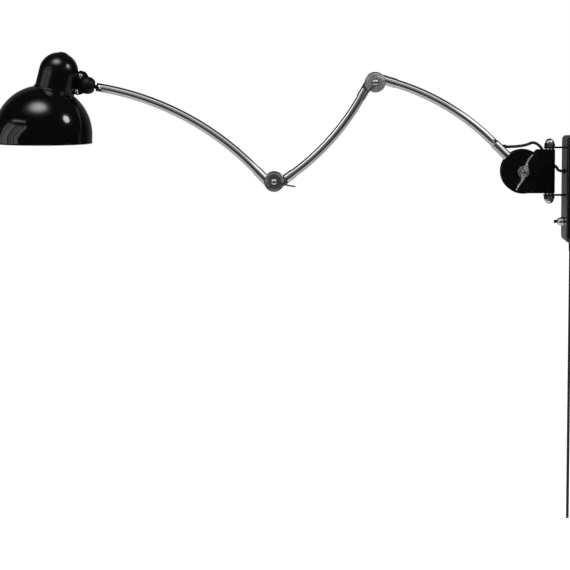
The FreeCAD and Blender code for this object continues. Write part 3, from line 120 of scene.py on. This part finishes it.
class Shader(NodeTree):
    """A material, by its Principled shader."""

    def __init__(self, name, colour, roughness, metallic=0.0, specular=0.5):
        self.material = bpy.data.materials.new(name)
        self.material.use_nodes = True
        super().__init__(self.material.node_tree)
        self.shader = self.nodes["Principled BSDF"]
        self.set("Base Color", (*colour, 1))
        self.set("Roughness", roughness)
        self.set("Metallic", metallic)
        self.set("Specular IOR Level", specular)
        self.place = self.node("ShaderNodeTexCoord").outputs["Object"]

    def set(self, socket, value):
        self.fill(self.shader.inputs[socket], value)

    def noise(self, scale, detail):
        made = self.node("ShaderNodeTexNoise", Vector=self.place, Scale=scale, Detail=detail)
        return made.outputs["Fac"]

    def mix(self, factor, first, second):
        """A colour between two, each a tuple or a node's output."""
        made = self.node("ShaderNodeMix")
        made.data_type = "RGBA"
        self.fill(made.inputs["Factor"], factor)
        for place, colour in ((MIX_COLOUR_A, first), (MIX_COLOUR_B, second)):
            self.fill(made.inputs[place], (*colour, 1) if isinstance(colour, tuple) else colour)
        return made.outputs[MIX_COLOUR_RESULT]

    def bump(self, height, strength, distance):
        made = self.node("ShaderNodeBump", Height=height, Strength=strength, Distance=distance)
        self.set("Normal", made.outputs[0])

    def distance_from(self, centre):
        offset = self.node("ShaderNodeVectorMath", self.place, centre)
        offset.operation = "SUBTRACT"
        length = self.node("ShaderNodeVectorMath", offset.outputs[0])
        length.operation = "LENGTH"
        return length.outputs["Value"]

    def patchy_roughness(self, scale, low, high):
        self.set("Roughness", self.ramp(self.noise(scale, 6.0), 0.3, 0.75, low, high))


def scaled(colour, factor):
    return tuple(c * factor for c in colour)


# ---------------------------------------------------------------- materials

NICKEL = (0.73, 0.725, 0.71)
DULLED = 0.86

# Distances from SHADE_CENTRE, BASE or an elbow between which a surface changes
SHADE_WALL = (0.1064, 0.1069)
DRUM_SLEEVE_START = (0.0482, 0.0486)
KNUCKLE_SLEEVE_START = (0.0232, 0.0238)
KNUCKLE_RIM = (0.0188, 0.0225)
LATHE_RINGS_PER_METRE = 1500.0


def enamel():
    """Black vitreous enamel outside, white inside the shade."""
    made = Shader("black_enamel", (0.006, 0.006, 0.007), 0.1)
    inside = made.ramp(made.distance_from(SHADE_CENTRE), *SHADE_WALL, 1.0, 0.0)
    cloud = made.noise(9.0, 3.0)
    black = made.mix(cloud, (0.002, 0.002, 0.0022), (0.004, 0.004, 0.0043))
    white = made.mix(cloud, (0.72, 0.71, 0.68), (0.8, 0.79, 0.76))
    made.set("Base Color", made.mix(inside, black, white))
    made.set("Roughness", made.ramp(made.noise(24.0, 6.0), 0.35, 0.8, 0.09, 0.17))
    made.bump(made.noise(45.0, 2.0), 0.03, 0.0008)
    return made.material


def paint(name, colour, rough, peel=0.03, specular=0.5):
    """Stove enamel on cast or pressed metal, with a slight peel and worn patches."""
    made = Shader(name, colour, rough, specular=specular)
    cloud = made.noise(18.0, 4.0)
    lighter = tuple(c * 1.6 + 0.0005 for c in colour)
    made.set("Base Color", made.mix(made.ramp(cloud, 0.45, 0.8, 0.0, 0.7), colour, lighter))
    made.patchy_roughness(45.0, rough * 0.85, rough * 1.25)
    made.bump(made.noise(160.0, 2.0), peel, 0.0003)
    return made.material


def nickel(name, colour, rough):
    """Plated or bare metal with dull patches."""
    made = Shader(name, colour, rough, metallic=1.0)
    cloud = made.ramp(made.noise(14.0, 5.0), 0.45, 0.75, 0.0, 0.8)
    made.set("Base Color", made.mix(cloud, colour, scaled(colour, DULLED)))
    made.patchy_roughness(40.0, rough * 0.8, rough * 1.4)
    return made.material


def cast_nickel():
    """Nickel plate on a rough casting, glittering where its skin is uneven."""
    made = Shader("cast_nickel", (0.85, 0.84, 0.81), 0.4, metallic=1.0)
    stain = made.ramp(made.noise(330.0, 2.0), 0.4, 0.6, 0.0, 1.0)
    made.set("Base Color", made.mix(stain, (0.95, 0.94, 0.92), (0.6, 0.59, 0.57)))
    made.set("Roughness", made.ramp(made.noise(60.0, 4.0), 0.3, 0.75, 0.25, 0.4))
    made.bump(made.noise(260.0, 2.0), 1.0, 0.003)
    return made.material


def drum():
    """The base drum: black enamel on the round part, nickel plate on its sleeve."""
    made = Shader("drum_enamel_and_nickel", (0.006, 0.006, 0.0065), 0.22)
    sleeve = made.ramp(made.distance_from(BASE), *DRUM_SLEEVE_START, 0.0, 1.0)
    plated = made.mix(made.noise(14.0, 5.0), NICKEL, scaled(NICKEL, DULLED))
    made.set("Base Color", made.mix(sleeve, (0.003, 0.003, 0.0032), plated))
    made.set("Metallic", sleeve)
    made.patchy_roughness(40.0, 0.12, 0.22)
    return made.material


def turned(name, centre, colour, rough):
    """Nickel dulled by handling, with the rings of the lathe round the joint, and a bright sleeve."""
    made = Shader(name, colour, rough, metallic=1.0)
    radius = made.distance_from(centre)
    sleeve = made.ramp(radius, *KNUCKLE_SLEEVE_START, 0.0, 1.0)
    rings = made.math("SINE", made.math("MULTIPLY", radius, LATHE_RINGS_PER_METRE))
    stain = made.noise(30.0, 3.0)
    tone = made.math("ADD", made.ramp(stain, 0.4, 0.7, 0.0, 0.5), made.ramp(rings, -1.0, 1.0, 0.0, 0.5))
    made.set("Base Color", made.mix(sleeve, made.mix(tone, colour, scaled(colour, 0.8)), NICKEL))
    dull = made.math("MULTIPLY", made.ramp(stain, 0.3, 0.7, rough * 0.9, rough * 1.2),
                     made.math("SUBTRACT", 1.0, sleeve))
    made.set("Roughness", made.math("ADD", dull, made.math("MULTIPLY", sleeve, 0.16)))
    made.bump(made.ramp(radius, *KNUCKLE_RIM, 1.0, 0.0), 1.0, 0.0013)
    return made.material


def rubber(name, colour, rough):
    """Rubber or fibre with faint clouds and grain."""
    made = Shader(name, colour, rough, specular=0.3)
    made.set("Base Color", made.mix(made.noise(40.0, 3.0), colour, scaled(colour, 2)))
    made.bump(made.noise(400.0, 2.0), 0.06, 0.0002)
    return made.material


def glass():
    made = Shader("clear_glass", (0.95, 0.96, 0.96), 0.02)
    made.set("Transmission Weight", 1.0)
    made.set("IOR", 1.45)
    made.set("Roughness", made.ramp(made.noise(30.0, 2.0), 0.3, 0.7, 0.01, 0.04))
    return made.material


MATERIALS = {
    "black_enamel": enamel(),
    "black_paint": paint("black_paint", (0.003, 0.003, 0.0032), 0.22),
    "plate_paint": paint("plate_paint", (0.003, 0.003, 0.0032), 0.27, peel=0.04),
    "cast_paint": paint("cast_paint", (0.003, 0.003, 0.0033), 0.42, peel=0.06, specular=0.25),
    "moulded": paint("moulded", (0.008, 0.007, 0.0065), 0.3),
    "nickel": nickel("nickel", NICKEL, 0.15),
    "chrome": nickel("chrome", (0.8, 0.79, 0.77), 0.06),
    "satin": nickel("satin_nickel", (0.45, 0.445, 0.435), 0.55),
    "steel": nickel("steel", (0.45, 0.45, 0.46), 0.3),
    "cast_nickel": cast_nickel(),
    "drum": drum(),
    # Painted light and shade: both elbows are one nickel finish, elbow 1's copy painted darker and elbow
    # 2's lighter to stand in for how light falls on each
    "elbow_1": turned("elbow_1_nickel", ELBOW_1, (0.55, 0.55, 0.53), 0.3),
    "elbow_2": turned("elbow_2_nickel", ELBOW_2, (0.8, 0.8, 0.78), 0.45),
    "black_rubber": rubber("black_rubber", (0.006, 0.006, 0.006), 0.6),
    "flex": rubber("flex", (0.026, 0.026, 0.026), 0.55),
    "fibre": rubber("fibre", (0.12, 0.07, 0.04), 0.8),
    "glass": glass(),
}

# Nodes with a finish other than their slot's
OWN_FINISH = {
    "elbow_1": ("arm_2_lower_knuckle", "arm_3_knuckle"),
    "elbow_2": ("arm_1_knuckle", "arm_2_upper_knuckle"),
    "chrome": ("elbow_1_screw", "elbow_2_screw", "clamp_screws", "upper_cap_nut", "lower_cap_nut",
               "switch_collar", "arm_3_end_bush"),
    "cast_paint": ("front_clamp_shell", "rear_clamp_shell", "ball_stud", "pivot_bracket"),
    "drum": ("arm_1_drum",),
    "cast_nickel": ("wing_nut",),
    "satin": ("base_washer",),
}
finish_of = {node: finish for finish, nodes in OWN_FINISH.items() for node in nodes}

# Each lamp lights one of these: the metal mirrors its lamps, so it has softer ones of its own
polished = bpy.data.collections.new("polished_metal")
unpolished = bpy.data.collections.new("everything_else")

for entry in frame["record"]["subparts"]:
    name = entry["node"]
    node = frame["nodes"][name]
    chosen = MATERIALS[finish_of.get(name, entry["material_slot"])]
    node.data.materials.clear()
    node.data.materials.append(chosen)
    metallic = chosen.node_tree.nodes["Principled BSDF"].inputs["Metallic"]
    is_metal = metallic.is_linked or metallic.default_value > 0.5
    (polished if is_metal else unpolished).objects.link(node)


def skin(name, rings):
    """A closed mesh over rings of points along a tube, with a flat face over each end."""
    sides = len(rings[0])
    points = [point for ring in rings for point in ring]
    faces = []
    for i in range(len(rings) - 1):
        for k in range(sides):
            a, b = i * sides + k, i * sides + (k + 1) % sides
            faces.append((a, b, b + sides, a + sides))
    faces.append(tuple(range(sides))[::-1])
    faces.append(tuple(range(len(points) - sides, len(points))))
    mesh = bpy.data.meshes.new(name)
    mesh.from_pydata(points, [], faces)
    for face in mesh.polygons:
        face.use_smooth = len(face.vertices) == 4
    made = bpy.data.objects.new(name, mesh)
    scene.collection.objects.link(made)
    return made


# ---------------------------------------------------------------- smooth arm tubes

TUBE_RADIUS = 0.00925
TUBE_BORE = 0.85 * TUBE_RADIUS
TUBE_SIDES = 56
TUBE_INSET = 0.029
ELBOW_RUN = 0.047
ELBOW_SIDE = 0.0107
BEND_STEPS = 72


def arm_line(joint, heading, side, start, first_run, bend_radius, sweep, last_run):
    """Points (x, z) and headings along a tube: straight, one bend to the left, straight."""
    turn = math.radians(heading)
    line = [(start, -side, 0.0)]
    for k in range(BEND_STEPS + 1):
        angle = math.radians(sweep) * k / BEND_STEPS
        line.append((first_run + bend_radius * math.sin(angle),
                     bend_radius * (1 - math.cos(angle)) - side, angle))
    along, across, angle = line[-1]
    line.append((along + last_run * math.cos(angle), across + last_run * math.sin(angle), angle))
    return [(joint[0] + along * math.cos(turn) - across * math.sin(turn),
             joint[2] + along * math.sin(turn) + across * math.cos(turn), angle + turn)
            for along, across, angle in line]


def smooth_tube(node, body, line):
    """A tube with finer facets in place of the node's; each flat end is a ring round a disc."""
    sections = [(line[0], TUBE_BORE), *((place, TUBE_RADIUS) for place in line), (line[-1], TUBE_BORE)]
    rings = []
    for (x, z, heading), radius in sections:
        ring = []
        for k in range(TUBE_SIDES):
            turn = 2 * math.pi * k / TUBE_SIDES
            up = radius * math.sin(turn)
            ring.append((x - up * math.sin(heading), radius * math.cos(turn), z + up * math.cos(heading)))
        rings.append(ring)
    made = skin(node + "_smooth", rings)
    faces = list(made.data.polygons)
    for face in faces[:TUBE_SIDES] + faces[-TUBE_SIDES - 2:]:
        face.use_smooth = False
    made.data.materials.append(MATERIALS["nickel"])
    polished.objects.link(made)
    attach(made, body)
    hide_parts(node)


smooth_tube("arm_1_tube", "arm_1",
            arm_line(BASE, heading=135.617, side=0, start=0.074, first_run=0.097, bend_radius=0.507,
                     sweep=27.177, last_run=ELBOW_RUN - TUBE_INSET))
smooth_tube("arm_2_tube", "arm_2",
            arm_line(ELBOW_1, heading=36.427, side=ELBOW_SIDE, start=TUBE_INSET, first_run=ELBOW_RUN,
                     bend_radius=0.52, sweep=23.933, last_run=ELBOW_RUN - TUBE_INSET))
smooth_tube("arm_3_tube", "arm_3",
            arm_line(ELBOW_1, heading=134.087, side=-ELBOW_SIDE, start=TUBE_INSET, first_run=ELBOW_RUN,
                     bend_radius=0.6135, sweep=35.667, last_run=0.0147))

# ---------------------------------------------------------------- leads

CORD_RADIUS = 0.00315
CORD_SIDES = 20


def route(name, points):
    """A smooth spline along given points (x, z) in the plane of the arms."""
    data = bpy.data.curves.new(name, "CURVE")
    data.dimensions = "3D"
    data.resolution_u = 24
    spline = data.splines.new("NURBS")
    spline.points.add(len(points) - 1)
    for place, (x, z) in zip(spline.points, points):
        place.co = (x, 0, z, 1)
    spline.order_u = 3
    spline.use_endpoint_u = True
    made = bpy.data.objects.new(name, data)
    scene.collection.objects.link(made)
    return made


supply = route("supply_flex", [(-0.0104, -0.111), (-0.0104, -0.7297)])
supply.data.bevel_depth = CORD_RADIUS
supply.data.bevel_resolution = 8
supply.data.use_fill_caps = True
supply.data.materials.append(MATERIALS["flex"])
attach(supply, "wall")
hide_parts("supply_cord")


def traced(line):
    """The points of a route's own spline; the route itself is taken away."""
    depsgraph = bpy.context.evaluated_depsgraph_get()
    mesh = bpy.data.meshes.new_from_object(line.evaluated_get(depsgraph))
    bpy.data.objects.remove(line)
    return [tuple(vertex.co) for vertex in mesh.vertices]


def short_lead(name, points, node):
    """A lead from one body into another, made as a fixed mesh along its route."""
    path = traced(route(name + "_route", points))
    side = Vector((0, 1, 0))
    rings = []
    for i, here in enumerate(path):
        before, after = Vector(path[max(i - 1, 0)]), Vector(path[min(i + 1, len(path) - 1)])
        up = (after - before).normalized().cross(side)
        turns = (2 * math.pi * k / CORD_SIDES for k in range(CORD_SIDES))
        rings.append([Vector(here) + CORD_RADIUS * (math.cos(turn) * side + math.sin(turn) * up)
                      for turn in turns])
    made = skin(name, rings)
    made.data.materials.append(MATERIALS["flex"])
    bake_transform(made)
    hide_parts(node)


short_lead("arm_flex",
           [(-0.161, 0.0915), (-0.141, 0.0915), (-0.111, 0.0945), (-0.092, 0.1035), (-0.072, 0.086),
            (-0.0736, 0.0674), (-0.0571, 0.0574)],
           "arm_cord_loop")
short_lead("wall_flex",
           [(-0.0571, 0.0574), (-0.0431, 0.0489), (-0.0385, 0.0379), (-0.021, 0.0379)],
           "wall_cord_loop")

# ---------------------------------------------------------------- lamps


def area_lamp(name, place, target, width, height, radiance, lights, elliptic=False, roll=0.0):
    """A lamp at a place that faces the target; radiance is its brightness as a mirror shows it."""
    data = bpy.data.lights.new(name, "AREA")
    data.shape = "ELLIPSE" if elliptic else "RECTANGLE"
    data.size, data.size_y = width, height
    area = width * height * (math.pi / 4 if elliptic else 1)
    data.energy = radiance * area * math.pi
    lamp = bpy.data.objects.new(name, data)
    lamp.location = place
    turn = (Vector(place) - Vector(target)).to_track_quat("Z", "Y")
    lamp.rotation_euler = (turn @ Quaternion((0, 0, 1), math.radians(roll))).to_euler()
    lamp.visible_camera = False
    lamp.light_linking.receiver_collection = lights
    scene.collection.objects.link(lamp)


def from_shade(towards, distance):
    """The point at that distance from the shade's centre, in the given direction."""
    return Vector(SHADE_CENTRE) + Vector(towards).normalized() * distance


# A softbox over the shade, brighter towards its middle: width and radiance of each layer
SOFTBOX_LAYERS = ((2.0, 0.12), (1.6, 0.3), (1.3, 0.85), (1.08, 1.4), (0.88, 1.8), (0.66, 2.1),
                  (0.42, 1.4))
softbox_place = from_shade((-0.15, -0.38, 0.92), 1.7)
for k, (width, radiance) in enumerate(SOFTBOX_LAYERS):
    step_down = Vector((0.02 * k, 0, -0.01 * k))
    area_lamp(f"overhead_softbox_{k}", softbox_place + step_down, SHADE_CENTRE, width, width * 0.75,
              radiance, unpolished, elliptic=True)

area_lamp("round_lamp", from_shade((0.802, -0.296, 0.518), 2.4), SHADE_CENTRE, 0.6, 0.6, 14,
          unpolished, elliptic=True)

# A leaning window on the left of the shade: azimuth in degrees, width and radiance of each pane
WINDOW_PANES = ((-40, 0.2, 1.3), (-29, 0.07, 2.2), (-21, 0.12, 0.9), (-10, 0.1, 2.2), (-1, 0.16, 1.2),
                (9, 0.06, 1.8))
for k, (azimuth, width, radiance) in enumerate(WINDOW_PANES):
    angle = math.radians(azimuth)
    area_lamp(f"window_{k}", from_shade((-math.cos(angle), math.sin(angle), 0.08), 1.6), SHADE_CENTRE,
              width, 1.2, radiance, unpolished, roll=-45)
area_lamp("window_head", from_shade((-0.761, -0.47, 0.47), 1.6), SHADE_CENTRE, 1.0, 0.08, 2.6,
          unpolished, roll=7)

# Long ceiling lamps for the metal alone: they draw the light line along the top of each tube
CEILING = 1.65
for k, (depth, radiance) in enumerate(((1.7, 0.35), (0.7, 0.75))):
    area_lamp(f"ceiling_strip_{k}", (-0.6, -1.05, CEILING - 0.01 * k), (-0.6, -1.05, 0), 4.6, depth,
              radiance, polished)

area_lamp("metal_card", (-0.6, -3.2, 1.35), (-0.6, 0, 0.1), 3.4, 1.0, 0.35, polished)
area_lamp("metal_fill", (-0.6, -4.5, 0.3), (-0.6, 0, 0.1), 14, 9, 0.035, polished)
area_lamp("right_window", (1.5, -1.3, 1.5), (1.5, -1.3, 0), 1.4, 3.8, 0.9, polished)
area_lamp("left_window", (-1.94, -0.54, 1.06), ELBOW_2, 0.9, 0.9, 1.1, polished)

# Two low panels far in front, which only upright metal such as the cap nuts reflects
for k, (across, ahead, radiance) in enumerate(((-3.2, -2.6, 1.1), (2.1, -3.36, 0.8))):
    area_lamp(f"low_panel_{k}", (across, ahead, 0.08), (-0.08, 0, 0.08), 1.1, 1.3, radiance, polished)

# ---------------------------------------------------------------- world and floor

AMBIENT = 0.5
FRONT_REFLECTION = 0.015
REAR_REFLECTION = 0.15
FLOOR_HEIGHT = -1.0
FLOOR_LIFT = 0.8
FLOOR_SHINE = 0.05

# The world is white where it is seen, plain grey to matt surfaces, and dim in reflections
world = bpy.data.worlds.new("studio")
scene.world = world
world.use_nodes = True
studio = NodeTree(world.node_tree)
ray = studio.node("ShaderNodeLightPath").outputs
direction = studio.node("ShaderNodeTexCoord").outputs["Generated"]
rearward = studio.node("ShaderNodeSeparateXYZ", direction).outputs["Y"]
seen = studio.math("MAXIMUM", ray["Is Camera Ray"], ray["Is Transmission Ray"])
reflected = studio.ramp(rearward, 0.5, 1.0, FRONT_REFLECTION, REAR_REFLECTION, "SMOOTHSTEP")
diffuse = studio.math("MULTIPLY", ray["Is Diffuse Ray"], AMBIENT)
background = studio.nodes["Background"]
studio.fill(background.inputs["Color"], (1, 1, 1, 1))
studio.fill(background.inputs["Strength"],
            studio.math("MAXIMUM", seen, studio.math("MAXIMUM", reflected, diffuse)))

floor_mesh = bpy.data.meshes.new("floor")
floor_mesh.from_pydata([(-7, -1.3, FLOOR_HEIGHT), (7, -1.3, FLOOR_HEIGHT), (7, 12, FLOOR_HEIGHT),
                        (-7, 12, FLOOR_HEIGHT)], [], [(0, 1, 2, 3)])
floor = bpy.data.objects.new("floor", floor_mesh)
scene.collection.objects.link(floor)
unpolished.objects.link(floor)

# The floor is lifted to white where it is seen, and a little in reflections
pale = Shader("pale_floor", (0.66, 0.66, 0.66), 0.8)
ray = pale.node("ShaderNodeLightPath").outputs
seen = pale.math("MAXIMUM", ray["Is Camera Ray"], ray["Is Transmission Ray"])
lift = pale.math("MULTIPLY_ADD", ray["Is Glossy Ray"], FLOOR_SHINE, seen)
pale.set("Emission Color", (1, 1, 1, 1))
pale.set("Emission Strength", pale.math("MULTIPLY", lift, FLOOR_LIFT))
floor_mesh.materials.append(pale.material)

# ---------------------------------------------------------------- view layer update

bpy.context.view_layer.update()
